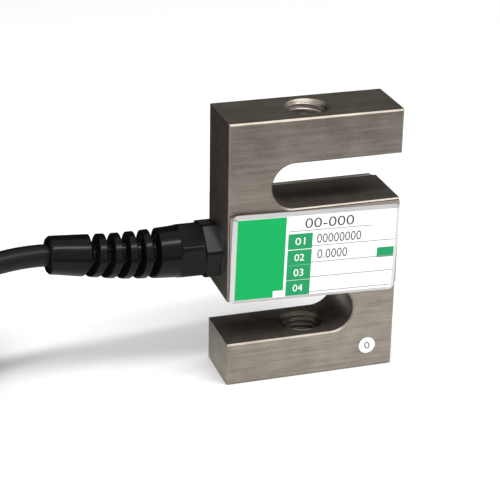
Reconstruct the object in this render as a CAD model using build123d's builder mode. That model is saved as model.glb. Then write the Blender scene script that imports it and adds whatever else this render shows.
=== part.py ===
from build123d import *
from math import atan2, cos, pi, radians, sin, tan
import os

# S type load cell, millimetres. X runs across the block, the front faces -Y and +Z is up.
# The origin is the mouth of the lower tapped hole, at the centre of the bottom face.

os.makedirs("parts", exist_ok=True)


def save(solid, name):
    """Label a finished piece and write it under that name."""
    solid.label = name
    export_step(solid, f"parts/{name}.step")


# Load element
block_width = 50.8
block_depth = 19.05
block_height = 79.4
middle_height = 26.4
slot_height = 13.5
slot_wall = 12.6
edge_chamfer = 0.45
thread_radius = 6.0
mouth_chamfer = 0.5

# Gauge pockets, one in each face of the middle section, with the web between them
pocket_wall = 12.4
pocket_margin = 4.7
pocket_corner = 3.0
web_thickness = 3.0

# Covers, label and sticker
seal_thickness = 0.2
cover_thickness = 0.5
cover_inset = 0.3
plate_side_gap = 0.6
plate_overhang = 0.15
plate_corner = 1.5
plate_rim = 0.25
plate_bevel_width = 1.0
plate_bevel_depth = 0.6
plate_tilt = -1.7
plate_drop = 0.65
sheet_inset = 0.15
sheet_thickness = 0.1
dot_radius = 2.5
dot_thickness = 0.1
dot_from_side = 7.9
dot_rise = 0.55

# Cable gland and bend relief, along -X from the left face
cable_radius = 3.1
bore_clearance = 0.1
gland_hole_depth = 9.5
gland_shank = 7.0
washer_thickness = 1.1
washer_radius = 7.9
flange_across_flats = 15.2
flange_length = 4.4
flange_turn = 13.0
stub_length = 7.0
thread_clearance = 0.1
seal_radius = 4.6
seal_length = 5.0
nut_across_flats = 15.0
nut_hex_length = 7.0
nut_turn = 35.0
nut_cone_length = 4.5
hex_corner_cut = 0.5
relief_start_radius = 7.4
relief_end_radius = 5.3
relief_tip_chamfer = 0.5
relief_length = 49.1
groove_pitch = 4.35
groove_turns = 5
first_groove = 19.3
groove_root_radius = 3.65
groove_root_width = 0.6
groove_mouth_width = 2.4
passage_radius = 2.0
passage_offset = 3.6
jacket_depth = 6.0
relief_sections = 9
groove_steps = 6
groove_overcut = 1.0

# Parts inside the front pocket
gauge_size = 5.4
gauge_thickness = 0.12
gauge_offset = 4.6
gauge_rise = 0.9
board_gap = 4.5
board_end_margin = 2.5
board_height = 3.8
board_thickness = 0.6
board_drop = 6.0
resistor_radius = 1.0
resistor_wire_radius = 0.25
resistor_wire_length = 1.5
resistor_gap = 2.0
resistor_wall_gap = 4.0
resistor_rise = 6.8
core_radius = 0.55
core_spacing = 1.4
lane_spacing = 1.9
core_bend = 0.8
core_spread = 4.0
core_clearance = 0.1

# Oval coil of the put-away cable, its ties and the cable's end
coil_length = 93.0
fold_radius = 21.9
coil_columns = 2
coil_rows = 7
turn_spacing = 6.4
coil_corner = 2.5
tie_thickness = 0.5
tie_width = 4.0
sleeve_radius = 3.45
sleeve_edge = 0.3
sleeve_length = 6.0
sleeve_overlap = 2.5
lead_radius = 0.7
lead_ring = 1.7
lead_length = 15.0
lead_straight = 4.0
lead_fan = 5.0
lead_sag = 0.8
shield_radius = 0.85

# Levels and places worked out from those sizes
arm_height = (block_height - middle_height) / 2 - slot_height
mid_bottom = arm_height + slot_height
mid_top = mid_bottom + middle_height
mid_level = block_height / 2
side = block_width / 2
face = block_depth / 2
web_face = web_thickness / 2
slot_radius = slot_height / 2
bore_radius = cable_radius + bore_clearance
pocket_width = block_width - 2 * pocket_wall
pocket_height = middle_height - 2 * pocket_margin
plate_width = block_width - 2 * plate_side_gap
plate_height = middle_height + 2 * plate_overhang
board_width = pocket_width - 2 * board_gap
pad_spacing = (board_width - 2 * board_end_margin) / 3
resistor_run = pocket_width / 2 - resistor_wall_gap - resistor_gap / 2
resistor_length = resistor_run - 2 * resistor_wire_length
resistor_spacing = resistor_run + resistor_gap

# The coil's section, its straight runs between the folds, and the levels of its highest and lowest turns
ring_width = (coil_columns - 1) * turn_spacing + 2 * cable_radius + bore_clearance
ring_height = (coil_rows - 1) * turn_spacing + 2 * cable_radius + bore_clearance
ring_level = tie_thickness + ring_height / 2
coil_straight = coil_length - 2 * fold_radius - ring_width
outer_fold = fold_radius + (coil_columns - 1) / 2 * turn_spacing
top_turn = ring_level + (coil_rows - 1) / 2 * turn_spacing
low_turn = ring_level - (coil_rows - 1) / 2 * turn_spacing

# Planes at mid height: two through the block's centre that look out of the front and the rear,
# and one on the left face that looks along the gland
front_plane = Plane(origin=(0, 0, mid_level), x_dir=(1, 0, 0), z_dir=(0, -1, 0))
rear_plane = Plane(origin=(0, 0, mid_level), x_dir=(-1, 0, 0), z_dir=(0, 1, 0))
left_plane = Plane(origin=(-side, 0, mid_level), x_dir=(0, -1, 0), z_dir=(-1, 0, 0))
cable_start_plane = left_plane.offset(-jacket_depth)

# Cable route from inside the gland to the coil's highest outer turn, chosen by hand
cable_route = [
    (-side + jacket_depth, 0.0, mid_level),
    (-side - 23.5, 0.0, mid_level),
    (-side - 53.8, 0.0, mid_level + 4.0),
    (-side - 71.6, -5.0, mid_level + 3.4),
    (-side - 89.8, -8.0, top_turn),
]
coil_centre = (cable_route[-1][0] - coil_straight / 2, cable_route[-1][1] + outer_fold)
tail_start = coil_centre[0] - coil_straight / 2

# Last stretch, from the coil's lowest outer turn to the sleeve
tail_route = [
    (tail_start, -8.0, low_turn),
    (tail_start - 11.5, -8.35, low_turn - 0.1),
    (tail_start - 23.0, -8.3, low_turn - 0.12),
]


def tangent_radii(points):
    """Radius at each corner: 0.45 of its shorter run, divided by the tangent of half its turn."""
    radii = []
    for before, corner, after in zip(points, points[1:], points[2:]):
        run_in = Vector(*corner) - Vector(*before)
        run_out = Vector(*after) - Vector(*corner)
        half_turn = radians(run_in.get_angle(run_out)) / 2
        radii.append(0.45 * min(run_in.length, run_out.length) / tan(half_turn))
    return radii


cable_radii = tangent_radii(cable_route)
tail_radii = tangent_radii(tail_route)
print("cable arc radii:", [round(value, 1) for value in cable_radii])
print("tail arc radii:", [round(value, 1) for value in tail_radii])

with BuildLine() as cable_line:
    FilletPolyline(*cable_route, radius=cable_radii)

with BuildLine() as relief_line:
    FilletPolyline(*cable_route[:3], radius=cable_radii[:1])

with BuildLine() as tail_line:
    FilletPolyline(*tail_route, radius=tail_radii)

# Load element: the S profile, its pockets, the two tapped arms and the gland hole
with BuildPart() as load_element:
    with BuildSketch(Plane.XZ):
        with Locations((0, mid_level)):
            Rectangle(block_width, block_height)
        with Locations((side, mid_top + slot_radius), (-side, mid_bottom - slot_radius)):
            Rectangle(2 * (block_width - slot_wall - slot_radius), slot_height, mode=Mode.SUBTRACT)
        with Locations(
            (-side + slot_wall + slot_radius, mid_top + slot_radius),
            (side - slot_wall - slot_radius, mid_bottom - slot_radius),
        ):
            Circle(slot_radius, mode=Mode.SUBTRACT)
    extrude(amount=face, both=True)
    front_outline = load_element.faces().sort_by(Axis.Y)[0].edges()
    rear_outline = load_element.faces().sort_by(Axis.Y)[-1].edges()
    chamfer(front_outline + rear_outline, length=edge_chamfer)
    for pocket_floor in (front_plane.offset(web_face), rear_plane.offset(web_face)):
        with BuildSketch(pocket_floor):
            RectangleRounded(pocket_width, pocket_height, pocket_corner)
        extrude(amount=face - web_face, mode=Mode.SUBTRACT)
    with Locations((0, 0, block_height)):
        Hole(thread_radius, depth=arm_height)
    with Locations((0, 0, arm_height)):
        Hole(thread_radius, depth=arm_height)
    with Locations(left_plane):
        Hole(thread_radius, depth=gland_hole_depth)
    with BuildSketch(left_plane):
        with Locations((passage_offset, 0)):
            Circle(passage_radius)
    extrude(amount=-(side - pocket_width / 2 + passage_radius / 2), mode=Mode.SUBTRACT)
    thread_mouths = load_element.edges().filter_by(GeomType.CIRCLE).filter_by(
        lambda edge: abs(edge.radius - thread_radius) < 0.01
        and (abs(edge.arc_center.X) < 0.01 or abs(edge.arc_center.X + side) < 0.01)
        and abs(edge.arc_center.Y) < 0.01
    )
    chamfer(thread_mouths, length=mouth_chamfer)
save(load_element.part, "load_element")

# Bonding seals and cover plates over the pockets, front and rear
for end, plane in (("front", front_plane), ("rear", rear_plane)):
    with BuildPart() as cover_seal:
        with BuildSketch(plane.offset(face)):
            Rectangle(block_width - 2 * cover_inset, middle_height - 2 * cover_inset)
            RectangleRounded(pocket_width, pocket_height, pocket_corner, mode=Mode.SUBTRACT)
        extrude(amount=seal_thickness)
    save(cover_seal.part, f"{end}_seal")

    with BuildPart() as cover:
        with BuildSketch(plane.offset(face + seal_thickness)):
            Rectangle(block_width - 2 * cover_inset, middle_height - 2 * cover_inset)
        extrude(amount=cover_thickness)
        fillet(cover.edges().filter_by(Axis.Y), radius=cover_thickness)
    save(cover.part, f"{end}_cover")

# Bevelled plates bonded on the covers. The front one sits slightly askew and carries the printed sheet.
plate_level = face + seal_thickness + cover_thickness
front_plate_plane = Plane(
    origin=(0, -plate_level, mid_level - plate_drop),
    x_dir=(cos(radians(plate_tilt)), 0, sin(radians(plate_tilt))),
    z_dir=(0, -1, 0),
)
rear_plate_plane = rear_plane.offset(plate_level)
for name, plane in (("label_plate", front_plate_plane), ("rear_plate", rear_plate_plane)):
    with BuildPart() as plate:
        with BuildSketch(plane):
            RectangleRounded(plate_width, plate_height, plate_corner)
        extrude(amount=plate_rim)
        with BuildSketch(plane.offset(plate_rim)):
            RectangleRounded(plate_width, plate_height, plate_corner)
        with BuildSketch(plane.offset(plate_rim + plate_bevel_depth)):
            RectangleRounded(
                plate_width - 2 * plate_bevel_width,
                plate_height - 2 * plate_bevel_width,
                plate_corner - plate_bevel_width,
            )
        loft()
    save(plate.part, name)

with BuildPart() as label_sheet:
    with BuildSketch(front_plate_plane.offset(plate_rim + plate_bevel_depth)):
        RectangleRounded(
            plate_width - 2 * (plate_bevel_width + sheet_inset),
            plate_height - 2 * (plate_bevel_width + sheet_inset),
            plate_corner - plate_bevel_width,
        )
    extrude(amount=sheet_thickness)
save(label_sheet.part, "label_sheet")

with BuildPart() as inspection_dot:
    with BuildSketch(front_plane.offset(face)):
        with Locations((side - dot_from_side, arm_height / 2 + dot_rise - mid_level)):
            Circle(dot_radius)
    extrude(amount=dot_thickness)
save(inspection_dot.part, "inspection_dot")

# Four foil gauges at 45 degrees on the web, two in each pocket
for end, plane in (("front", front_plane), ("rear", rear_plane)):
    for place, x in (("left", -gauge_offset), ("right", gauge_offset)):
        with BuildPart() as gauge:
            with BuildSketch(plane.offset(web_face)):
                with Locations(Location((x, gauge_rise), 45)):
                    Rectangle(gauge_size, gauge_size)
            extrude(amount=gauge_thickness)
        save(gauge.part, f"strain_gauge_{end}_{place}")

with BuildPart() as terminal_board:
    with BuildSketch(front_plane.offset(web_face)):
        with Locations((0, -board_drop)):
            Rectangle(board_width, board_height)
    extrude(amount=board_thickness)
save(terminal_board.part, "terminal_board")

# Two trimming resistors lying on the web above the gauges, with their stub wires
with BuildPart() as trim_resistors:
    for x in (-resistor_spacing / 2, resistor_spacing / 2):
        axis_plane = Plane(
            origin=(x - resistor_length / 2, -web_face - resistor_radius, mid_level + resistor_rise),
            x_dir=(0, 1, 0),
            z_dir=(1, 0, 0),
        )
        with BuildSketch(axis_plane):
            Circle(resistor_radius)
        extrude(amount=resistor_length)
        with BuildSketch(axis_plane.offset(-resistor_wire_length)):
            Circle(resistor_wire_radius)
        extrude(amount=resistor_length + 2 * resistor_wire_length)
save(trim_resistors.part, "trim_resistors")

# Rubber washer between the block and the gland's flange
with BuildPart() as gland_washer:
    with BuildSketch(left_plane):
        Circle(washer_radius)
        Circle(thread_radius, mode=Mode.SUBTRACT)
    extrude(amount=washer_thickness)
    fillet(gland_washer.edges().group_by(Axis.X)[0].sort_by(SortBy.RADIUS)[-1], radius=washer_thickness / 3)
save(gland_washer.part, "gland_washer")

# Gland body: shank in the block, hexagon flange, and the stub that the nut screws on
flange_start = washer_thickness
flange_end = flange_start + flange_length
stub_end = flange_end + stub_length
shank_radius = thread_radius - thread_clearance


def hexagon_across_corners(across_flats):
    """Radius to the corners of a hexagon."""
    return across_flats / 2 / cos(radians(30))


with BuildPart() as gland_body:
    with BuildSketch(left_plane.offset(flange_start)):
        RegularPolygon(flange_across_flats / 2, 6, major_radius=False, rotation=flange_turn)
    extrude(amount=flange_length)
    with BuildSketch(left_plane):
        Circle(hexagon_across_corners(flange_across_flats) - hex_corner_cut / 2)
    extrude(amount=flange_end, mode=Mode.INTERSECT)
    with BuildSketch(left_plane.offset(-gland_shank)):
        Circle(shank_radius)
    extrude(amount=gland_shank + stub_end)
    with BuildSketch(left_plane.offset(-gland_shank)):
        Circle(bore_radius)
    extrude(amount=gland_shank + stub_end, mode=Mode.SUBTRACT)
    with BuildSketch(left_plane.offset(stub_end - seal_length)):
        Circle(seal_radius)
    extrude(amount=seal_length, mode=Mode.SUBTRACT)
save(gland_body.part, "gland_body")

with BuildPart() as gland_seal:
    with BuildSketch(left_plane.offset(stub_end - seal_length)):
        Circle(seal_radius)
    extrude(amount=seal_length)
    with BuildSketch(cable_start_plane):
        Circle(cable_radius)
    sweep(path=relief_line.line, mode=Mode.SUBTRACT)
save(gland_seal.part, "gland_seal")

# Dome nut and bend relief in one moulding. The relief follows the cable's line, tapers along it,
# and is cut by a V groove that runs round it, square to the axis over the top half and stepping
# one pitch outwards under the bottom half.
nut_end = flange_end + nut_hex_length
relief_path = relief_line.wire()


def relief_radius(station):
    """Outer radius of the tapered relief at a distance from the block."""
    share = (station - nut_end) / (relief_length - nut_end)
    return relief_start_radius + share * (relief_end_radius - relief_start_radius)


def axis_plane_at(station):
    """Plane across the cable at a distance from the block, its local x to the front, its z outwards."""
    length_along = station + jacket_depth
    point = relief_path.position_at(length_along, position_mode=PositionMode.LENGTH)
    along = relief_path.tangent_at(length_along, position_mode=PositionMode.LENGTH)
    return Plane(origin=point, x_dir=(0, -1, 0), z_dir=along)


def groove_section(turn_angle, station):
    """Plane that holds the cable's axis at a station and looks out at an angle from the front."""
    across = axis_plane_at(station)
    outward = across.x_dir * cos(radians(turn_angle)) + across.y_dir * sin(radians(turn_angle))
    return Plane(origin=across.origin, x_dir=across.z_dir, z_dir=across.z_dir.cross(outward))


def groove_station(turns):
    """Axial place of the groove after so many turns from its outer end, in falling stations."""
    half_steps = int(turns) + min(2 * (turns % 1), 1)
    return first_groove + groove_pitch * (groove_turns - half_steps)


with BuildPart() as strain_relief_nut:
    with BuildSketch(left_plane.offset(flange_end)):
        RegularPolygon(nut_across_flats / 2, 6, major_radius=False, rotation=nut_turn)
    extrude(amount=nut_hex_length)
    with BuildSketch(left_plane.offset(flange_end)):
        Circle(hexagon_across_corners(nut_across_flats) - hex_corner_cut / 2)
    extrude(amount=nut_hex_length, mode=Mode.INTERSECT)
    chamfer(strain_relief_nut.faces().sort_by(Axis.X)[0].edges(), length=hex_corner_cut)
    for step in range(relief_sections + 1):
        station = nut_end + step * (relief_length - nut_end) / relief_sections
        with BuildSketch(axis_plane_at(station)):
            Circle(relief_radius(station))
    loft()
    chamfer(strain_relief_nut.faces().sort_by(Axis.X)[0].edges(), length=relief_tip_chamfer)
    for half_turn in range(2 * groove_turns):
        for step in range(groove_steps + 1):
            turns = (half_turn + step / groove_steps) / 2
            station = groove_station(turns)
            depth = relief_radius(station) - groove_root_radius
            slope = (groove_mouth_width - groove_root_width) / 2 / depth
            cut_radius = relief_radius(station) + groove_overcut
            half_root = groove_root_width / 2
            half_cut = half_root + slope * (cut_radius - groove_root_radius)
            with BuildSketch(groove_section(-360 * turns, station)):
                Polygon(
                    (-half_root, groove_root_radius),
                    (half_root, groove_root_radius),
                    (half_cut, cut_radius),
                    (-half_cut, cut_radius),
                    align=None,
                )
        loft(mode=Mode.SUBTRACT)
    with BuildSketch(left_plane.offset(flange_end)):
        Circle(shank_radius + thread_clearance)
    extrude(amount=stub_length + thread_clearance, mode=Mode.SUBTRACT)
    with BuildSketch(left_plane.offset(stub_end + thread_clearance)):
        Circle(shank_radius + thread_clearance)
    with BuildSketch(left_plane.offset(stub_end + thread_clearance + nut_cone_length)):
        Circle(cable_radius / 2)
    loft(mode=Mode.SUBTRACT)
    with BuildSketch(cable_start_plane):
        Circle(bore_radius)
    sweep(path=relief_line.line, mode=Mode.SUBTRACT)
save(strain_relief_nut.part, "strain_relief_nut")

# Put-away cable: one oval ring of the coil's outer shape, raised by the ties that pass under it
coil_floor = Plane(origin=(*coil_centre, tie_thickness))
with BuildPart() as cable_coil:
    with BuildSketch(coil_floor):
        SlotCenterToCenter(coil_straight, 2 * fold_radius + ring_width)
        SlotCenterToCenter(coil_straight, 2 * fold_radius - ring_width, mode=Mode.SUBTRACT)
    extrude(amount=ring_height)
    ring_ends = cable_coil.faces().filter_by(Axis.Z)
    fillet(ring_ends.edges(), radius=coil_corner)
save(cable_coil.part, "cable_coil")

# Two ties, one round each straight run of the coil
for name, run_side in (("coil_tie_near", -1), ("coil_tie_far", 1)):
    tie_plane = Plane(
        origin=(coil_centre[0] - tie_width / 2, coil_centre[1] + run_side * fold_radius, ring_level),
        x_dir=(0, 1, 0),
        z_dir=(1, 0, 0),
    )
    with BuildPart() as coil_tie:
        with BuildSketch(tie_plane):
            RectangleRounded(
                ring_width + 2 * tie_thickness,
                ring_height + 2 * tie_thickness,
                coil_corner + tie_thickness,
            )
            RectangleRounded(ring_width, ring_height, coil_corner, mode=Mode.SUBTRACT)
        extrude(amount=tie_width)
    save(coil_tie.part, name)

# The cable's two free stretches, each cut where it runs into the coil
for name, line, points in (("cable_jacket", cable_line, cable_route), ("cable_tail", tail_line, tail_route)):
    start_direction = Vector(*points[1]) - Vector(*points[0])
    with BuildPart() as stretch:
        with BuildSketch(Plane(origin=points[0], z_dir=start_direction)):
            Circle(cable_radius)
        sweep(path=line.line)
        tube_volume = line.wire().length * pi * cable_radius**2
        print(name, "volume over section times length:", round(stretch.part.volume / tube_volume, 4))
        add(cable_coil.part, mode=Mode.SUBTRACT)
    save(stretch.part, name)

# Shrink sleeve on the cable's end, and the flying leads that come out of it
end_direction = (Vector(*tail_route[-1]) - Vector(*tail_route[-2])).normalized()
end_plane = Plane(origin=tail_route[-1], x_dir=Vector(0, 0, 1).cross(end_direction), z_dir=end_direction)
with BuildPart() as end_sleeve:
    with BuildSketch(end_plane.offset(-sleeve_overlap)):
        Circle(sleeve_radius)
    extrude(amount=sleeve_length)
    with BuildSketch(end_plane.offset(-sleeve_overlap)):
        Circle(cable_radius)
    extrude(amount=sleeve_overlap, mode=Mode.SUBTRACT)
    fillet(end_sleeve.edges().filter_by(GeomType.CIRCLE).group_by(SortBy.RADIUS)[-1], radius=sleeve_edge)
save(end_sleeve.part, "end_sleeve")

sleeve_face = end_plane.offset(sleeve_length - sleeve_overlap)
lead_places = {
    "lead_red": (162, -2, lead_radius),
    "lead_black": (234, -1, lead_radius),
    "lead_shield": (90, 0, shield_radius),
    "lead_green": (306, 1, lead_radius),
    "lead_white": (18, 2, lead_radius),
}
for name, (angle, fan_place, radius) in lead_places.items():
    across = lead_ring * cos(radians(angle))
    above = lead_ring * sin(radians(angle))
    floor_drop = sleeve_face.origin.Z - radius
    lead_points = [
        sleeve_face.from_local_coords((across, above, 0)),
        sleeve_face.from_local_coords((across, above, lead_straight)),
        sleeve_face.from_local_coords((fan_place * lead_fan / 3, -floor_drop * lead_sag, 0.6 * lead_length)),
        sleeve_face.from_local_coords((fan_place * lead_fan / 2, -floor_drop, lead_length)),
    ]
    with BuildPart() as lead:
        with BuildLine() as lead_line:
            FilletPolyline(*lead_points, radius=tangent_radii([tuple(point) for point in lead_points]))
        with BuildSketch(Plane(origin=lead_points[0], z_dir=end_direction)):
            Circle(radius)
        sweep(path=lead_line.line)
    save(lead.part, name)

# The four cores from the jacket's end through the passage, then each in its own lane to its pad
jacket_end = -side + jacket_depth
slant_start = -side + gland_shank + core_radius
slant_end = -side + gland_hole_depth - core_radius - core_clearance
slant_angle = atan2(passage_offset, slant_end - slant_start)
pocket_start = -pocket_width / 2
pad_level = mid_level - board_drop
for index, name in enumerate(("core_red", "core_black", "core_green", "core_white")):
    across = (index % 2 - 0.5) * core_spacing
    above = (0.5 - index // 2) * core_spacing
    slant_shift = across * tan(slant_angle / 2)
    lane = (1.5 - index) * lane_spacing
    pad_x = (1.5 - index) * pad_spacing
    core_points = [
        (jacket_end, across, mid_level + above),
        (slant_start + slant_shift, across, mid_level + above),
        (slant_end + slant_shift, -passage_offset + across, mid_level + above),
        (pocket_start + core_radius, -passage_offset + across, mid_level + above),
        (pocket_start + core_spread, -passage_offset, mid_level + lane),
        (pad_x - core_spacing, -passage_offset, mid_level + lane),
        (pad_x, -web_face - board_thickness - core_radius, pad_level),
    ]
    with BuildPart() as core:
        with BuildLine() as core_line:
            FilletPolyline(*core_points, radius=core_bend)
        with BuildSketch(Plane(origin=core_points[0], z_dir=(1, 0, 0))):
            Circle(core_radius)
        sweep(path=core_line.line)
    save(core.part, name)
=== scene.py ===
"""Looks for an S type load cell: its steel block, printed plate, nylon gland, cable and studio."""
import math

import bpy
import numpy as np
from mathutils import Matrix, Vector


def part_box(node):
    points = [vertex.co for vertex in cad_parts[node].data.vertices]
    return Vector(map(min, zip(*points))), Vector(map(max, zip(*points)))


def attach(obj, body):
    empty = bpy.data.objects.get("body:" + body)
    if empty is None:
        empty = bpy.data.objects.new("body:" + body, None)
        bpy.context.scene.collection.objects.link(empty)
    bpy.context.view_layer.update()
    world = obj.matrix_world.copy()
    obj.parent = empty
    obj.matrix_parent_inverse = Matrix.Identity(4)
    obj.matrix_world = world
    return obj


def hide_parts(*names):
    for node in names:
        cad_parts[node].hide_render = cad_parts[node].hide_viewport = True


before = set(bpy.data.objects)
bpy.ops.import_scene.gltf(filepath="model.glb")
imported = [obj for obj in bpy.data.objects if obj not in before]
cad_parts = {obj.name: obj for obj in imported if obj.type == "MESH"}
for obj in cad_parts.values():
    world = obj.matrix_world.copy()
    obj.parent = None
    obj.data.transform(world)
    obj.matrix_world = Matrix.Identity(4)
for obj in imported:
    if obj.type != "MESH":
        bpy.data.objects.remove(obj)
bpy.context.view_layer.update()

bl_info = {
    "name": "S type load cell",
    "version": (1, 0, 0),
    "blender": (4, 5, 0),
    "location": "View3D > Sidebar > Load cell",
    "description": "Finishes, print, threads, cable and studio for an S type load cell",
    "category": "Add Mesh",
}

MM = 0.001

BLOCK_LOW, BLOCK_HIGH = (np.array(corner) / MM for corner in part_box("load_element"))
SHEET_LOW, SHEET_HIGH = (np.array(corner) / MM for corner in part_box("label_sheet"))
DOT_LOW, DOT_HIGH = (np.array(corner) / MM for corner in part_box("inspection_dot"))
COIL_LOW, COIL_HIGH = (np.array(corner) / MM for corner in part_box("cable_coil"))


def linear(hex_colour):
    """Scene-linear RGBA of an sRGB hex colour such as 8A8078."""
    channels = np.array([int(hex_colour[i:i + 2], 16) for i in (0, 2, 4)]) / 255
    values = np.where(channels <= 0.04045, channels / 12.92, ((channels + 0.055) / 1.055) ** 2.4)
    return (*values.tolist(), 1.0)


def colour(name, description, hex_colour):
    """A colour property with its default from a hex value."""
    return bpy.props.FloatVectorProperty(
        name=name, description=description, default=linear(hex_colour),
        subtype="COLOR", size=4, min=0.0, max=1.0,
    )


def length(name, description, millimetres):
    """A length property with its default in millimetres."""
    return bpy.props.FloatProperty(
        name=name, description=description, default=millimetres * MM, unit="LENGTH", subtype="DISTANCE"
    )


class LoadCellColours(bpy.types.PropertyGroup):
    steel: colour("Plated steel", "Sand-blasted nickel plate on the block", "A69E94")
    steel_dark: colour("Plated steel, shaded grain", "Darker grain of the plate", "7C746B")
    plate: colour("Plate", "Satin aluminium of the label plates", "D2D0D0")
    film: colour("Film", "White ground of the printed sheet and the sticker", "F6F4F6")
    print_green: colour("Green panel", "Large green field of the printed sheet", "0EA659")
    tab_green: colour("Green tabs", "Darker green of the tabs beside the rules", "22945E")
    print_grey: colour("Numerals", "Dark grey ink of the numerals", "4A4A50")
    rule_grey: colour("Rules", "Grey ink of the ruled lines", "8E8E92")
    nylon: colour("Nylon", "Black moulded nylon of the gland", "0C0C0E")
    sheath: colour("Sheath", "Black sheath of the cable", "131315")


class LoadCellSizes(bpy.types.PropertyGroup):
    cable_diameter: length("Cable", "Outer diameter of the cable", 6.2)
    cable_length: length("Cable length", "Length of the cable from inside the gland to its end", 2450)
    thread_pitch: length("Thread pitch", "Pitch of the two tapped holes", 1.75)
    thread_radius: length("Thread radius", "Outer radius of the two tapped holes", 6.0)
    thread_depth: length("Thread depth", "Height of the thread's ridges", 0.95)
    arm_height: length("Arm", "Height of the block's two arms", 13.0)
    print_lift: length("Print", "Thickness of the ink on the sheet", 0.02)


def colours():
    return bpy.context.scene.load_cell_colours


def sizes():
    return bpy.context.scene.load_cell_sizes


def add_node(tree, kind, settings=None, inputs=None, links=None):
    """Add a node, with its own settings, its constant inputs, and its links from other outputs."""
    node = tree.nodes.new(kind)
    for name, value in (settings or {}).items():
        setattr(node, name, value)
    for name, value in (inputs or {}).items():
        node.inputs[name].default_value = value
    for name, output in (links or {}).items():
        tree.links.new(output, node.inputs[name])
    return node


def new_material(name, **sockets):
    """A material with its Principled shader's constant sockets set, as (material, tree, shader)."""
    material = bpy.data.materials.new(name)
    material.use_nodes = True
    tree = material.node_tree
    shader = tree.nodes["Principled BSDF"]
    for socket, value in sockets.items():
        shader.inputs[socket.replace("_", " ")].default_value = value
    return material, tree, shader


def object_point(tree, scale=(1.0, 1.0, 1.0)):
    """Object coordinates in metres, stretched by a scale, as an output."""
    place = add_node(tree, "ShaderNodeTexCoord")
    return add_node(
        tree, "ShaderNodeMapping", inputs={"Scale": scale}, links={"Vector": place.outputs["Object"]}
    ).outputs["Vector"]


def noise(tree, grain_mm, detail=2.0, scale=(1.0, 1.0, 1.0)):
    """Noise whose grains measure so many millimetres, as an output from 0 to 1."""
    return add_node(
        tree, "ShaderNodeTexNoise", inputs={"Scale": 1 / (grain_mm * MM), "Detail": detail},
        links={"Vector": object_point(tree, scale)},
    ).outputs["Fac"]


def total(tree, first, second):
    """The sum of two values, as an output."""
    return add_node(tree, "ShaderNodeMath", {"operation": "ADD"}, links={0: first, 1: second}).outputs[0]


def spread(tree, value, low, high):
    """A value from 0 to 1 spread between two numbers, as an output."""
    return add_node(
        tree, "ShaderNodeMapRange", inputs={"To Min": low, "To Max": high}, links={"Value": value}
    ).outputs["Result"]


def ramp(tree, value, stops):
    """A colour ramp through two (place, colour) stops, as an output."""
    node = add_node(tree, "ShaderNodeValToRGB", links={"Fac": value})
    for element, (place, tint) in zip(node.color_ramp.elements, stops):
        element.position = place
        element.color = tint
    return node.outputs["Color"]


def bump(tree, shader, height, depth_mm, strength):
    """Bump of a real depth from a height output, on the shader's normal."""
    node = add_node(
        tree, "ShaderNodeBump", inputs={"Distance": depth_mm * MM, "Strength": strength},
        links={"Height": height},
    )
    tree.links.new(node.outputs["Normal"], shader.inputs["Normal"])


def plated_steel():
    """Alloy steel, sand-blasted and nickel plated: a dull warm grey with a fine bright and dark grain.

    The grit leaves pits of about 0.15 mm, drawn here at 0.35 mm, because finer ones don't show."""
    material, tree, shader = new_material("nickel-plated steel", Metallic=1.0)
    grit = noise(tree, 0.35, detail=3.0)
    mottle = noise(tree, 7.0, detail=4.0)
    drawn = noise(tree, 0.9, detail=2.0, scale=(0.06, 1.0, 1.0))
    share = add_node(
        tree, "ShaderNodeMapRange", inputs={"From Min": 1.05, "From Max": 1.95},
        links={"Value": total(tree, total(tree, grit, mottle), drawn)},
    )
    shade = ramp(tree, share.outputs["Result"], [(0.0, colours().steel_dark), (1.0, colours().steel)])
    tree.links.new(shade, shader.inputs["Base Color"])
    tree.links.new(spread(tree, grit, 0.38, 0.56), shader.inputs["Roughness"])
    bump(tree, shader, grit, 0.02, 0.5)
    return material


def cut_steel():
    """Freshly cut steel of the threads, plated: smoother and brighter than the blasted faces."""
    material, tree, shader = new_material("cut steel", Metallic=1.0, Base_Color=linear("A59D94"))
    tree.links.new(spread(tree, noise(tree, 0.4), 0.24, 0.38), shader.inputs["Roughness"])
    return material


def satin_aluminium():
    """Satin aluminium sheet: pale, with faint marks of its rolling along the plate."""
    material, tree, shader = new_material("satin aluminium", Metallic=1.0, Base_Color=colours().plate)
    rolled = noise(tree, 0.3, scale=(0.05, 1.0, 1.0))
    tree.links.new(spread(tree, rolled, 0.22, 0.38), shader.inputs["Roughness"])
    bump(tree, shader, rolled, 0.005, 0.4)
    return material


def cover_sheet():
    """Thin steel cover sheet, plated like the block but not blasted, so it is a little smoother."""
    material, tree, shader = new_material("plated cover sheet", Metallic=1.0, Base_Color=colours().steel)
    tree.links.new(spread(tree, noise(tree, 0.5), 0.3, 0.45), shader.inputs["Roughness"])
    return material


def printed(name, tint):
    """Screen-printed polyester film: flat colour under a satin face with a very fine orange peel."""
    material, tree, shader = new_material(
        name, Base_Color=tint, Roughness=0.42, IOR=1.5, Specular_IOR_Level=0.12
    )
    bump(tree, shader, noise(tree, 0.6, detail=1.0), 0.004, 0.3)
    return material


def moulded_nylon():
    """Black nylon out of a polished mould: deep black, half gloss, with a faint flow texture."""
    material, tree, shader = new_material(
        "moulded nylon", IOR=1.53, Base_Color=colours().nylon, Specular_IOR_Level=0.13
    )
    flow = noise(tree, 0.8, detail=3.0)
    tree.links.new(spread(tree, flow, 0.18, 0.27), shader.inputs["Roughness"])
    bump(tree, shader, flow, 0.01, 0.25)
    return material


def cable_sheath():
    """Black polyurethane sheath, extruded: half matt, with a very fine skin."""
    material, tree, shader = new_material(
        "polyurethane sheath", IOR=1.5, Base_Color=colours().sheath, Specular_IOR_Level=0.16
    )
    skin = noise(tree, 0.5, detail=3.0)
    tree.links.new(spread(tree, skin, 0.32, 0.45), shader.inputs["Roughness"])
    bump(tree, shader, skin, 0.02, 0.4)
    return material


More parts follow.
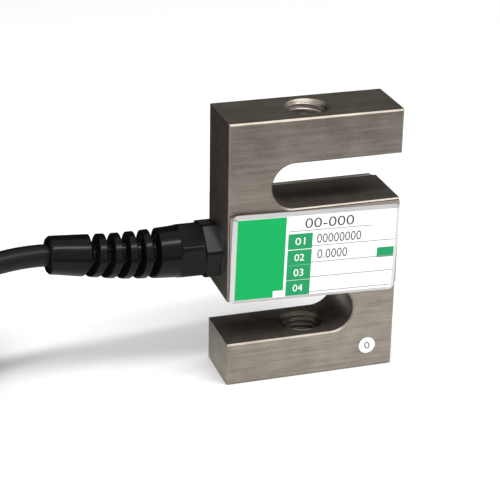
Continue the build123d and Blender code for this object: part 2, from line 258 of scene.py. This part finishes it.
def plain_plastic(name, hex_colour, roughness):
    """A moulded or extruded plastic, rubber or lacquer of one colour, with a fine skin of 0.6 mm grains."""
    material, tree, shader = new_material(name, IOR=1.5)
    skin = noise(tree, 0.6)
    base = linear(hex_colour)
    darker = (*(0.8 * channel for channel in base[:3]), 1.0)
    tree.links.new(ramp(tree, skin, [(0.3, darker), (0.7, base)]), shader.inputs["Base Color"])
    tree.links.new(spread(tree, skin, roughness - 0.06, roughness + 0.06), shader.inputs["Roughness"])
    return material


def gauge_foil():
    """Constantan foil on amber polyimide: thin bright lines across a warm brown film.

    The real lines lie about 0.1 mm apart, drawn here about 1 mm apart, because finer ones don't show."""
    material, tree, shader = new_material("constantan foil on polyimide", Roughness=0.35)
    lines = add_node(
        tree, "ShaderNodeTexWave", {"bands_direction": "DIAGONAL"}, {"Scale": 1 / (2.4 * MM)},
        {"Vector": object_point(tree)},
    )
    tint = ramp(tree, lines.outputs["Fac"], [(0.45, linear("A8742C")), (0.55, linear("C9A98A"))])
    tree.links.new(tint, shader.inputs["Base Color"])
    return material


def dress(material, *nodes):
    """Give CAD nodes a material."""
    for name in nodes:
        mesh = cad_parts[name].data
        mesh.materials.clear()
        mesh.materials.append(material)


def add_piece(name, mesh, material):
    """An object for a mesh, at the origin, riding on the one body."""
    mesh.materials.clear()
    mesh.materials.append(material)
    piece = bpy.data.objects.new(name, mesh)
    bpy.context.scene.collection.objects.link(piece)
    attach(piece, "root")
    return piece


def surface_mesh(name, points):
    """A smooth mesh over a grid of points in millimetres, closed along each row and from last row to first.

    Each face joins four neighbours of the grid, and their order is turned round if the faces, on the whole,
    point inwards."""
    rows, columns = points.shape[:2]
    index = np.arange(rows * columns).reshape(rows, columns)
    index = np.vstack([index, index[:1]])
    right = np.roll(index, -1, axis=1)
    faces = np.stack([index[:-1], right[:-1], right[1:], index[1:]], axis=-1).reshape(-1, 4)
    flat = points.reshape(-1, 3) * MM
    corners = flat[faces]
    centre = flat.mean(axis=0)
    normals = np.cross(corners[:, 2] - corners[:, 0], corners[:, 3] - corners[:, 1])
    if np.sum(normals * (corners.mean(axis=1) - centre)) < 0:
        faces = faces[:, ::-1]
    mesh = bpy.data.meshes.new(name)
    mesh.from_pydata(flat.tolist(), [], faces.tolist())
    mesh.polygons.foreach_set("use_smooth", np.full(len(faces), True))
    mesh.update()
    return mesh


# The cable's points outside its coil, in millimetres, as part.py has them
CABLE_ROUTE = [
    (-19.4, 0.0, 39.7),
    (-48.9, 0.0, 39.7),
    (-64.3, 0.0, 41.73),
    (-79.2, 0.0, 43.7),
    (-97.0, -5.0, 43.1),
    (-115.2, -8.0, 42.05),
]
TAIL_ROUTE = [
    (-151.7, -8.0, 3.65),
    (-163.2, -8.35, 3.55),
    (-174.7, -8.3, 3.53),
]

# The coil: its turns, the points of each, and by how many points it starts and ends late, because the
# cable's own points lead into it and out of it
COIL_TURNS = 11
COIL_POINTS = 24
COIL_SKIP = 2

# The coil's moves from lane to lane: how many, the turn at the middle of the first, how much earlier in its
# turn each next one comes, and the turns that a move across and a move down take
COIL_MOVES = 12
FIRST_MOVE = 0.73
EARLIER = 0.11
MOVE_WIDTHS = (0.3, 0.35)
LANE_SPACING = 6.4


def coil_route():
    """Control points of the coil's turns, wound clockwise from the top outer lane to the bottom outer one.

    The line runs round an oval: along the front to the left, round the left fold, back along the rear and
    round the right fold. Each turn keeps its lane, a distance from the oval's middle and a level, until it
    eases into the next one: inwards, a level down, outwards, a level down, and so on. Each move comes a
    little earlier round the oval than the one before, so that no turn moves into a lane still taken."""
    centre_x, centre_y = (COIL_LOW + COIL_HIGH)[:2] / 2
    straight = CABLE_ROUTE[-1][0] - TAIL_ROUTE[0][0]
    outer_fold = centre_y - CABLE_ROUTE[-1][1]
    middle_fold = outer_fold - LANE_SPACING / 2
    half_round = math.pi * middle_fold
    turn_length = 2 * (straight + half_round)
    turns = np.arange(COIL_SKIP, COIL_TURNS * COIL_POINTS + COIL_SKIP + 1) / COIL_POINTS

    fold = np.full(turns.shape, outer_fold)
    level = np.full(turns.shape, CABLE_ROUTE[-1][2])
    for move in range(COIL_MOVES):
        middle = move + FIRST_MOVE - EARLIER * move
        share = np.clip((turns - middle) / MOVE_WIDTHS[move % 2] + 0.5, 0, 1)
        eased = LANE_SPACING * (1 - np.cos(np.pi * share)) / 2
        if move % 2:
            level -= eased
        else:
            fold += eased if move % 4 else -eased

    along = turns % 1 * turn_length
    front = np.clip(along, 0, straight)
    left = np.clip(along - straight, 0, half_round)
    rear = np.clip(along - straight - half_round, 0, straight)
    right = np.clip(along - 2 * straight - half_round, 0, half_round)
    angle = -math.pi / 2 - (left + right) / middle_fold
    x = centre_x + straight / 2 - front + rear + fold * np.cos(angle)
    return np.stack([x, centre_y + fold * np.sin(angle), level], axis=1)


def cable_curve(name):
    """A curve object along the cable's route: a NURBS spline with no bevel."""
    route = np.vstack([CABLE_ROUTE, coil_route(), TAIL_ROUTE]) * MM
    curve = bpy.data.curves.new(name, "CURVE")
    curve.dimensions = "3D"
    spline = curve.splines.new("NURBS")
    spline.points.add(len(route) - 1)
    spline.points.foreach_set("co", np.hstack([route, np.ones((len(route), 1))]).ravel())
    spline.order_u = 3
    spline.use_endpoint_u = True
    spline.resolution_u = 6
    cable = bpy.data.objects.new(name, curve)
    bpy.context.scene.collection.objects.link(cable)
    return cable


def mesh_of(guide):
    """Vertices, as an array, and faces of a curve object's mesh. The object and its curve are deleted."""
    bpy.context.view_layer.update()
    mesh = bpy.data.meshes.new_from_object(guide)
    points = np.empty(len(mesh.vertices) * 3)
    mesh.vertices.foreach_get("co", points)
    faces = [tuple(polygon.vertices) for polygon in mesh.polygons]
    curve = guide.data
    bpy.data.objects.remove(guide)
    bpy.data.curves.remove(curve)
    bpy.data.meshes.remove(mesh)
    return points.reshape(-1, 3), faces


class LOADCELL_OT_cable(bpy.types.Operator):
    """Lay the cable from the gland to its coil and on to its end, as one smooth line"""
    bl_idname = "loadcell.cable"
    bl_label = "Cable"

    def execute(self, context):
        cable = cable_curve("signal_cable")
        curve = cable.data
        curve.bevel_depth = sizes().cable_diameter / 2
        curve.bevel_resolution = 6
        curve.use_fill_caps = True
        curve.materials.append(cable_sheath())
        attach(cable, "root")
        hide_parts("cable_jacket", "cable_coil", "cable_tail")
        return {"FINISHED"}


# The nut and its bend relief, in millimetres along the cable from the block's left face and as radii
HEX_START, HEX_END, RELIEF_END = 5.5, 12.5, 49.1
HEX_APOTHEM, HEX_CORNER = 7.5, 8.41
RELIEF_ROOT, RELIEF_TIP, BORE = 7.4, 5.3, 3.2

# Angle of the hexagon's first corner from the front, in degrees
HEX_TURN = 35.0

# Chamfer at each end of the hexagon: its length, the radius that it starts from, and its drop
HEX_EDGE, EDGE_RADIUS, EDGE_DROP = 0.5, 8.45, 0.55

# Rounding of the relief's tip: its length and its drop
TIP_LENGTH, TIP_DROP = 0.6, 0.45

# The relief's groove: place of its first turn, pitch and turns, radius at its root, widths at its floor and
# its mouth, and the share of a wall over which it eases out
GROOVE_FIRST, GROOVE_PITCH, GROOVE_COUNT = 19.3, 4.35, 5
GROOVE_ROOT, GROOVE_FLOOR, GROOVE_MOUTH = 3.65, 0.6, 2.4
GROOVE_EASE = 1.1

# Steps between rows along the nut, along the relief and beside the nut's end face, and points round a row
NUT_STEP, RELIEF_STEP, SEAM_STEP = 0.5, 0.15, 0.08
RELIEF_AROUND = 240


def eased_step(value, low, high):
    """A smooth rise from 0 to 1 between two values: 3 t squared minus 2 t cubed."""
    t = np.clip((value - low) / (high - low), 0, 1)
    return t * t * (3 - 2 * t)


def relief_frames(stations):
    """Middle, front and upper directions of the relief at distances from the block's left face.

    They come from the cable's own line: the front stays level and square to it, and the upper direction
    is square to both."""
    points = mesh_of(cable_curve("cable_guide"))[0] / MM
    steps = np.linalg.norm(np.diff(points, axis=0), axis=1)
    inside_block = CABLE_ROUTE[0][0] - BLOCK_LOW[0]
    lengths = np.concatenate([[0.0], np.cumsum(steps)]) - inside_block
    middle = np.stack([np.interp(stations, lengths, points[:, axis]) for axis in range(3)], axis=1)
    slope = np.gradient(points, lengths, axis=0)
    along = np.stack([np.interp(stations, lengths, slope[:, axis]) for axis in range(3)], axis=1)
    along /= np.linalg.norm(along, axis=1, keepdims=True)
    front = np.cross(along, [0.0, 0.0, 1.0])
    front /= np.linalg.norm(front, axis=1, keepdims=True)
    return middle, front, np.cross(front, along)


def hexagon_radius(station, angles):
    """Radius of the nut: its apothem over the cosine of the angle from a flat's middle.

    It is cut off at the corners, and further at both ends by the chamfer."""
    from_flat = np.radians((angles - HEX_TURN) % 60 - 30)
    half = (HEX_END - HEX_START) / 2
    edge = np.clip((np.abs(station - HEX_START - half) - half + HEX_EDGE) / HEX_EDGE, 0, 1)
    corner = np.minimum(HEX_CORNER, EDGE_RADIUS - EDGE_DROP * edge)
    return np.minimum(HEX_APOTHEM / np.cos(from_flat), corner)


def relief_radius(station, angles):
    """Radius of the bend relief: an even taper, less a V groove and less the rounding of its tip.

    The groove's middle stays at one station over the top half and steps one pitch outwards under the
    bottom half, and it ends blind at the front at both ends."""
    taper = RELIEF_ROOT + (station - HEX_END) / (RELIEF_END - HEX_END) * (RELIEF_TIP - RELIEF_ROOT)
    under = np.maximum(angles - 180, 0) / 180
    cut = np.zeros_like(taper)
    for turn in range(GROOVE_COUNT):
        away = np.abs(station - GROOVE_FIRST - GROOVE_PITCH * (turn + under))
        wall = (away - GROOVE_FLOOR / 2) / (GROOVE_MOUTH / 2 - GROOVE_FLOOR / 2)
        cut = np.maximum(cut, 1 - eased_step(wall, 0.0, GROOVE_EASE))
    tip = eased_step(station, RELIEF_END - TIP_LENGTH, RELIEF_END)
    return taper - (taper - GROOVE_ROOT) * cut - TIP_DROP * tip


def relief_surface():
    """The nut's hexagon and the grooved bend relief as one closed surface.

    Rows are stations along the cable and columns are angles from the front over the top. A point is the
    cable's middle, plus its radius along the front direction times the cosine of its angle and along the
    upper direction times the sine. The first and last rows lie on the bore, and each end's outer row is
    doubled, which keeps its edge crisp under smooth shading."""
    stations = np.concatenate([
        [HEX_START, HEX_START, HEX_START + HEX_EDGE / 2, HEX_START + HEX_EDGE],
        np.arange(HEX_START + HEX_EDGE + NUT_STEP, HEX_END - HEX_EDGE, NUT_STEP),
        [HEX_END - HEX_EDGE, HEX_END - HEX_EDGE / 2, HEX_END - SEAM_STEP, HEX_END],
        [HEX_END, HEX_END + SEAM_STEP],
        np.arange(HEX_END + RELIEF_STEP, RELIEF_END, RELIEF_STEP),
        [RELIEF_END, RELIEF_END],
    ])
    angles = np.arange(RELIEF_AROUND) * 360 / RELIEF_AROUND
    station = stations[:, None] * np.ones_like(angles)
    radius = np.where(station > HEX_END, relief_radius(station, angles), hexagon_radius(station, angles))
    radius[np.flatnonzero(stations == HEX_END)[-1]] = RELIEF_ROOT
    radius = np.pad(radius, ((1, 1), (0, 0)), constant_values=BORE)

    middle, front, up = relief_frames(np.pad(stations, 1, mode="edge"))
    turn = np.radians(angles)[:, None]
    outwards = front[:, None] * np.cos(turn) + up[:, None] * np.sin(turn)
    return middle[:, None] + radius[..., None] * outwards


class LOADCELL_OT_relief(bpy.types.Operator):
    """Make the dome nut with its spiral-grooved bend relief, in one moulding"""
    bl_idname = "loadcell.relief"
    bl_label = "Bend relief"

    def execute(self, context):
        mesh = surface_mesh("bend_relief", relief_surface())
        relief = add_piece("bend_relief", mesh, moulded_nylon())
        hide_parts("strain_relief_nut")
        return {"FINISHED"}


# The threads, in millimetres: where they start under a mouth, how far short of the arm's far face they stop,
# the gaps of their inner and outer walls to the hole's own wall, and the lengths over which the ridge rises
# below the mouth and falls towards its end
THREAD_START, THREAD_SHORT = 0.5, 0.1
INNER_GAP, OUTER_GAP = 0.02, 0.01
RIDGE_RISE, RIDGE_FALL = (0.15, 1.0), (0.1, 0.5)

# The ridge's wave is stretched and lowered by these before it is cut off, which leaves flat crests and roots
RIDGE_STRETCH, RIDGE_DROP = 1.3, 0.12

# Points round a thread and the step between its rows
THREAD_AROUND, THREAD_STEP = 96, 0.11


def thread_surface(mouth, inwards, depth):
    """A helical ridge that stands in from a tapped hole's wall, from its mouth to a depth.

    Rows go down the hole and columns round it. The inner radius is the hole's, less a triangle wave of the
    pitch along the hole, shifted round by the angle, and the wave fades at both ends. The outer wall, close
    to the hole's, closes it."""
    down = np.linspace(0, depth, int(depth / THREAD_STEP))
    angle = np.arange(THREAD_AROUND) * 2 * math.pi / THREAD_AROUND
    pitch = sizes().thread_pitch / MM
    radius = sizes().thread_radius / MM
    phase = (down[:, None] / pitch + angle / (2 * math.pi)) % 1
    ridge = np.clip((1 - np.abs(2 * phase - 1)) * RIDGE_STRETCH - RIDGE_DROP, 0, 1)
    fade = eased_step(down, *RIDGE_RISE) * eased_step(depth - down, *RIDGE_FALL)
    inner = radius - INNER_GAP - sizes().thread_depth / MM * ridge * fade[:, None]
    outer = np.full_like(inner, radius - OUTER_GAP)
    level = mouth + inwards * (THREAD_START + down * (depth - THREAD_START) / depth)
    rows = [np.stack([r * np.cos(angle), r * np.sin(angle), np.broadcast_to(z[:, None], r.shape)], axis=-1)
            for r, z in ((inner, level), (outer[::-1], level[::-1]))]
    return np.concatenate(rows)


class LOADCELL_OT_threads(bpy.types.Operator):
    """Cut the threads of the two tapped holes, as thin helical ridges on their walls"""
    bl_idname = "loadcell.threads"
    bl_label = "Threads"

    def execute(self, context):
        depth = sizes().arm_height / MM - THREAD_SHORT
        steel = cut_steel()
        for name, mouth, inwards in (("upper_thread", BLOCK_HIGH[2], -1), ("lower_thread", BLOCK_LOW[2], 1)):
            mesh = surface_mesh(name, thread_surface(mouth, inwards, depth))
            add_piece(name, mesh, steel)
        return {"FINISHED"}


# The label sheet's tilt and the sticker's turn, in degrees
LABEL_TILT = -1.7
DOT_TURN = 20.0

# Half the printed field's width and height, in millimetres
HALF_WIDTH, HALF_HEIGHT = 23.6, 12.15

# Places on the sheet from its middle, in millimetres: left, bottom, right, top
GREEN_PANEL = [
    (-HALF_WIDTH, -10.2, -9.3, HALF_HEIGHT),
    (-HALF_WIDTH, -HALF_HEIGHT, -12.3, -10.2),
]
TAB_LEFT, TAB_RIGHT = -8.55, -1.35
TAB_LEVELS = [(2.1, 6.83), (-2.76, 1.87), (-7.32, -2.82), (-HALF_HEIGHT, -7.45)]
UNIT_TAB = (18.5, -2.57, HALF_WIDTH, 0.51)
GREEN_TABS = [(TAB_LEFT, low, TAB_RIGHT, high) for low, high in TAB_LEVELS] + [UNIT_TAB]

# The ruled lines: their weight, the left end, right end and level of the heading's, and the others' levels
RULE_WEIGHT = 0.22
HEADING_RULE = (-8.4, 16.4, 7.65)
RULE_LEVELS = (2.78, -2.25, -6.8, -11.43)
RULES = [
    (left, level - RULE_WEIGHT / 2, right, level + RULE_WEIGHT / 2)
    for left, right, level in [HEADING_RULE] + [(TAB_RIGHT, HALF_WIDTH, level) for level in RULE_LEVELS]
]

NUMERALS = [
    ("00-000", (-3.8, 8.3, 10.8, 11.3)),
    ("00000000", (0.0, 3.5, 13.3, 6.3)),
    ("0.0000", (0.4, -1.3, 9.4, 1.5)),
]
TAB_NUMERALS = [
    ("01", (-6.4, 3.4, -3.5, 5.6)),
    ("02", (-6.4, -1.5, -3.5, 0.6)),
    ("03", (-6.4, -6.2, -3.5, -4.0)),
    ("04", (-6.4, -10.9, -3.5, -8.8)),
]
DOT_NUMERAL = ("0", (-0.8, -1.2, 0.8, 1.2))


def boxes_flat(rectangles):
    """Vertices and faces of flat boxes, as (left, bottom, right, top) in a plane, from depth 0 to 1."""
    left, bottom, right, top = np.array(rectangles, float).T
    corners = np.stack([np.stack([left, bottom], 1), np.stack([right, bottom], 1),
                        np.stack([right, top], 1), np.stack([left, top], 1)], axis=1)
    low = np.concatenate([corners, np.zeros((len(corners), 4, 1))], axis=2)
    high = np.concatenate([corners, np.ones((len(corners), 4, 1))], axis=2)
    vertices = np.concatenate([low, high], axis=1).reshape(-1, 3)
    sides = np.array([(3, 2, 1, 0), (4, 5, 6, 7), (0, 1, 5, 4), (1, 2, 6, 5), (2, 3, 7, 6), (3, 0, 4, 7)])
    faces = (sides[None] + 8 * np.arange(len(rectangles))[:, None, None]).reshape(-1, 4)
    return vertices, faces.tolist()


def words_flat(words, place):
    """Vertices and faces of words fitted to a place (left, bottom, right, top), from depth 0 to 1."""
    curve = bpy.data.curves.new("numerals", "FONT")
    curve.body = words
    curve.extrude = 0.5
    curve.resolution_u = 4
    guide = bpy.data.objects.new("numerals", curve)
    bpy.context.scene.collection.objects.link(guide)
    points, faces = mesh_of(guide)
    low, high = points[:, :2].min(axis=0), points[:, :2].max(axis=0)
    place = np.array(place)
    points[:, :2] = place[:2] + (points[:, :2] - low) / (high - low) * (place[2:] - place[:2])
    points[:, 2] += 0.5
    return points, faces


def ink_mesh(name, shapes, centre, turn, lift):
    """A mesh of flat shapes laid on a face that looks to the front, as (vertices, faces) pairs.

    A point is the centre, plus its first coordinate along the turned level direction, plus its second
    along the turned upright one; its depth, from 0 to 1, stands out to the front from the lift."""
    thickness = sizes().print_lift / MM
    cosine, sine = math.cos(math.radians(turn)), math.sin(math.radians(turn))
    vertices, faces = [], []
    for points, polygons in shapes:
        start = sum(len(block) for block in vertices)
        vertices.append(np.stack([
            centre[0] + points[:, 0] * cosine - points[:, 1] * sine,
            centre[1] - lift - thickness * points[:, 2],
            centre[2] + points[:, 0] * sine + points[:, 1] * cosine,
        ], axis=1))
        faces += [tuple(start + corner for corner in polygon) for polygon in polygons]
    mesh = bpy.data.meshes.new(name)
    mesh.from_pydata((np.concatenate(vertices) * MM).tolist(), [], faces)
    return mesh


def front_middle(low, high):
    """The middle of a box's front face, from its two corners."""
    return (low[0] + high[0]) / 2, low[1], (low[2] + high[2]) / 2


class LOADCELL_OT_print(bpy.types.Operator):
    """Print the label sheet's green fields, rules and plain numerals, and the sticker's numeral"""
    bl_idname = "loadcell.print"
    bl_label = "Print"

    def execute(self, context):
        on_sheet = front_middle(SHEET_LOW, SHEET_HIGH)
        on_dot = front_middle(DOT_LOW, DOT_HIGH)
        ink = sizes().print_lift / MM
        panel_ink = printed("green ink", colours().print_green)
        tab_ink = printed("dark green ink", colours().tab_green)
        rule_ink = printed("rule ink", colours().rule_grey)
        grey_ink = printed("grey ink", colours().print_grey)
        white_ink = printed("white ink", colours().film)
        for name, shapes, lift, material in (
            ("green_panel", [boxes_flat(GREEN_PANEL)], 0.0, panel_ink),
            ("green_tabs", [boxes_flat(GREEN_TABS)], 0.0, tab_ink),
            ("ruled_lines", [boxes_flat(RULES)], ink, rule_ink),
            ("numerals", [words_flat(*item) for item in NUMERALS], 0.0, grey_ink),
            ("tab_numerals", [words_flat(*item) for item in TAB_NUMERALS], ink, white_ink),
        ):
            add_piece(name, ink_mesh(name, shapes, on_sheet, LABEL_TILT, lift), material)
        figure = ink_mesh("sticker_numeral", [words_flat(*DOT_NUMERAL)], on_dot, DOT_TURN, 0.0)
        add_piece("sticker_numeral", figure, grey_ink)
        return {"FINISHED"}


# The camera: its target and distance in millimetres, its angles in degrees, its lens and film in millimetres
CAMERA_TARGET = (-15.943, 0.0, 37.523)
CAMERA_DISTANCE = 462.66
CAMERA_AZIMUTH, CAMERA_ELEVATION, CAMERA_ROLL = -18.006, 24.123, 0.999
CAMERA_LENS, CAMERA_FILM = 116.766, 36.0

# The stage, in metres: the floor, and the dark cards that only shiny surfaces see
FLOOR = [(-3.0, -3.0, 0.0), (3.0, -3.0, 0.0), (3.0, 3.0, 0.0), (-3.0, 3.0, 0.0)]
CARDS = {
    "rear_card": [(-0.9, 0.3, 0.0), (0.9, 0.3, 0.0), (0.9, 0.5, 0.9), (-0.9, 0.5, 0.9)],
    "low_card": [(-0.7, 0.03, 0.001), (-0.03, 0.03, 0.001), (-0.03, 0.7, 0.001), (-0.7, 0.7, 0.001)],
    "front_card": [(-0.9, -1.2, 0.001), (0.9, -1.2, 0.001), (0.9, -0.15, 0.001), (-0.9, -0.15, 0.001)],
}

# The soft box: its place, the point that it faces and its sides, in metres, and its brightness. The room's
# brightness is what the object sees of it, while the camera sees it white
BOX_PLACE, BOX_TARGET = (0.05, -0.28, 0.62), (0.0, 0.0, 0.04)
BOX_LENGTH, BOX_WIDTH, BOX_BRIGHTNESS = 0.8, 0.06, 24.0
ROOM_BRIGHTNESS = 0.8


def set_camera(scene):
    """Place the camera: its distance back from the target along its angles, turned by its roll."""
    azimuth, elevation, roll = (
        math.radians(value) for value in (CAMERA_AZIMUTH, CAMERA_ELEVATION, CAMERA_ROLL)
    )
    back = Vector((
        math.sin(azimuth) * math.cos(elevation), -math.cos(azimuth) * math.cos(elevation), math.sin(elevation)
    ))
    level = Vector((math.cos(azimuth), math.sin(azimuth), 0.0))
    upright = back.cross(level)
    right = level * math.cos(roll) + upright * math.sin(roll)
    up = upright * math.cos(roll) - level * math.sin(roll)
    camera_data = bpy.data.cameras.new("camera")
    camera_data.lens = CAMERA_LENS
    camera_data.sensor_width = CAMERA_FILM
    camera_data.clip_start = 0.01
    camera_data.clip_end = 20.0
    camera = bpy.data.objects.new("camera", camera_data)
    camera.matrix_world = Matrix.Translation(
        Vector(CAMERA_TARGET) * MM + back * CAMERA_DISTANCE * MM
    ) @ Matrix((right, up, back)).transposed().to_4x4()
    scene.collection.objects.link(camera)
    scene.camera = camera


def stage_sheet(name, corners, material):
    """A flat stage sheet through four corners in metres."""
    mesh = bpy.data.meshes.new(name)
    mesh.from_pydata(corners, [], [(0, 1, 2, 3)])
    mesh.materials.append(material)
    sheet = bpy.data.objects.new(name, mesh)
    bpy.context.scene.collection.objects.link(sheet)
    return sheet


def stage_material(name, tint, roughness):
    """A matt material of one colour that mirrors nothing."""
    return new_material(name, Base_Color=tint, Roughness=roughness, Specular_IOR_Level=0.0)[0]


def soft_box(scene):
    """A long lamp of an even brightness over the cell. Its power is pi times brightness times area."""
    light = bpy.data.lights.new("top_softbox", "AREA")
    light.shape = "RECTANGLE"
    light.size = BOX_LENGTH
    light.size_y = BOX_WIDTH
    light.energy = math.pi * BOX_BRIGHTNESS * BOX_LENGTH * BOX_WIDTH
    lamp = bpy.data.objects.new("top_softbox", light)
    lamp.location = BOX_PLACE
    lamp.rotation_mode = "QUATERNION"
    lamp.rotation_quaternion = (Vector(BOX_TARGET) - Vector(BOX_PLACE)).to_track_quat("-Z", "Y")
    scene.collection.objects.link(lamp)


def white_room():
    """A world that the camera sees pure white and that lights the object a little less."""
    world = bpy.data.worlds.new("white room")
    world.use_nodes = True
    background = world.node_tree.nodes["Background"]
    path = add_node(world.node_tree, "ShaderNodeLightPath")
    strength = spread(world.node_tree, path.outputs["Is Camera Ray"], ROOM_BRIGHTNESS, 1.0)
    world.node_tree.links.new(strength, background.inputs["Strength"])
    background.inputs["Color"].default_value = (1.0, 1.0, 1.0, 1.0)
    return world


class LOADCELL_OT_studio(bpy.types.Operator):
    """Set the camera, a pale floor, dark cards that only shiny surfaces see, and soft light"""
    bl_idname = "loadcell.studio"
    bl_label = "Studio"

    def execute(self, context):
        scene = context.scene
        scene.view_settings.view_transform = "Standard"
        set_camera(scene)
        stage_sheet("floor", FLOOR, stage_material("matt white floor", linear("F8F8F8"), 0.9))
        black = stage_material("black card", linear("1D1B1A"), 1.0)
        for name, corners in CARDS.items():
            card = stage_sheet(name, corners, black)
            card.visible_camera = card.visible_diffuse = card.visible_shadow = False
        scene.world = white_room()
        soft_box(scene)
        return {"FINISHED"}


class LOADCELL_OT_finishes(bpy.types.Operator):
    """Give every carried-over piece its material"""
    bl_idname = "loadcell.finishes"
    bl_label = "Finishes"

    def execute(self, context):
        dress(plated_steel(), "load_element")
        dress(cover_sheet(), "front_cover", "rear_cover")
        dress(satin_aluminium(), "label_plate", "rear_plate")
        dress(printed("white polyester film", colours().film), "label_sheet", "inspection_dot")
        # The seals' near-black grey is partly the sealant's own colour and partly painted shade of the narrow
        # gap between the covers and the block
        dress(plain_plastic("sealant with painted gap shade", "2A2A2A", 0.6), "front_seal", "rear_seal")
        dress(plain_plastic("nitrile rubber", "101010", 0.6), "gland_washer", "gland_seal")
        dress(moulded_nylon(), "gland_body", "strain_relief_nut")
        dress(cable_sheath(), "cable_jacket", "cable_coil", "cable_tail")
        dress(plain_plastic("natural nylon", "D8D6CC", 0.4), "coil_tie_near", "coil_tie_far")
        dress(plain_plastic("shrunk polyolefin", "101010", 0.5), "end_sleeve")
        dress(gauge_foil(), *(f"strain_gauge_{end}_{place}" for end in ("front", "rear")
                              for place in ("left", "right")))
        dress(plain_plastic("glass epoxy laminate", "1E6B3A", 0.3), "terminal_board")
        dress(plain_plastic("lacquered resistor", "B89B6A", 0.3), "trim_resistors")
        for name, tint in (("red", "B81414"), ("black", "141414"), ("green", "0E7A34"), ("white", "E8E6E0")):
            dress(plain_plastic(f"{name} insulation", tint, 0.35), f"core_{name}", f"lead_{name}")
        dress(plain_plastic("clear sleeving", "BDB8AC", 0.3), "lead_shield")
        return {"FINISHED"}


GROUPS = (LoadCellColours, LoadCellSizes)
OPERATORS = (LOADCELL_OT_studio, LOADCELL_OT_cable, LOADCELL_OT_relief, LOADCELL_OT_threads,
             LOADCELL_OT_print, LOADCELL_OT_finishes)


class LOADCELL_PT_panel(bpy.types.Panel):
    """Lists the load cell's operators and values"""
    bl_label = "Load cell"
    bl_idname = "LOADCELL_PT_panel"
    bl_space_type = "VIEW_3D"
    bl_region_type = "UI"
    bl_category = "Load cell"

    def draw(self, context):
        for operator in OPERATORS:
            self.layout.operator(operator.bl_idname)
        for group in (context.scene.load_cell_colours, context.scene.load_cell_sizes):
            for name in group.__annotations__:
                self.layout.prop(group, name)


def register():
    for cls in (*GROUPS, *OPERATORS, LOADCELL_PT_panel):
        bpy.utils.register_class(cls)
    bpy.types.Scene.load_cell_colours = bpy.props.PointerProperty(type=LoadCellColours)
    bpy.types.Scene.load_cell_sizes = bpy.props.PointerProperty(type=LoadCellSizes)


def unregister():
    del bpy.types.Scene.load_cell_sizes
    del bpy.types.Scene.load_cell_colours
    for cls in reversed((*GROUPS, *OPERATORS, LOADCELL_PT_panel)):
        bpy.utils.unregister_class(cls)


def main():
    register()
    bpy.ops.loadcell.studio()
    bpy.ops.loadcell.cable()
    bpy.ops.loadcell.relief()
    bpy.ops.loadcell.threads()
    bpy.ops.loadcell.print()
    bpy.ops.loadcell.finishes()


if __name__ == "__main__":
    main()
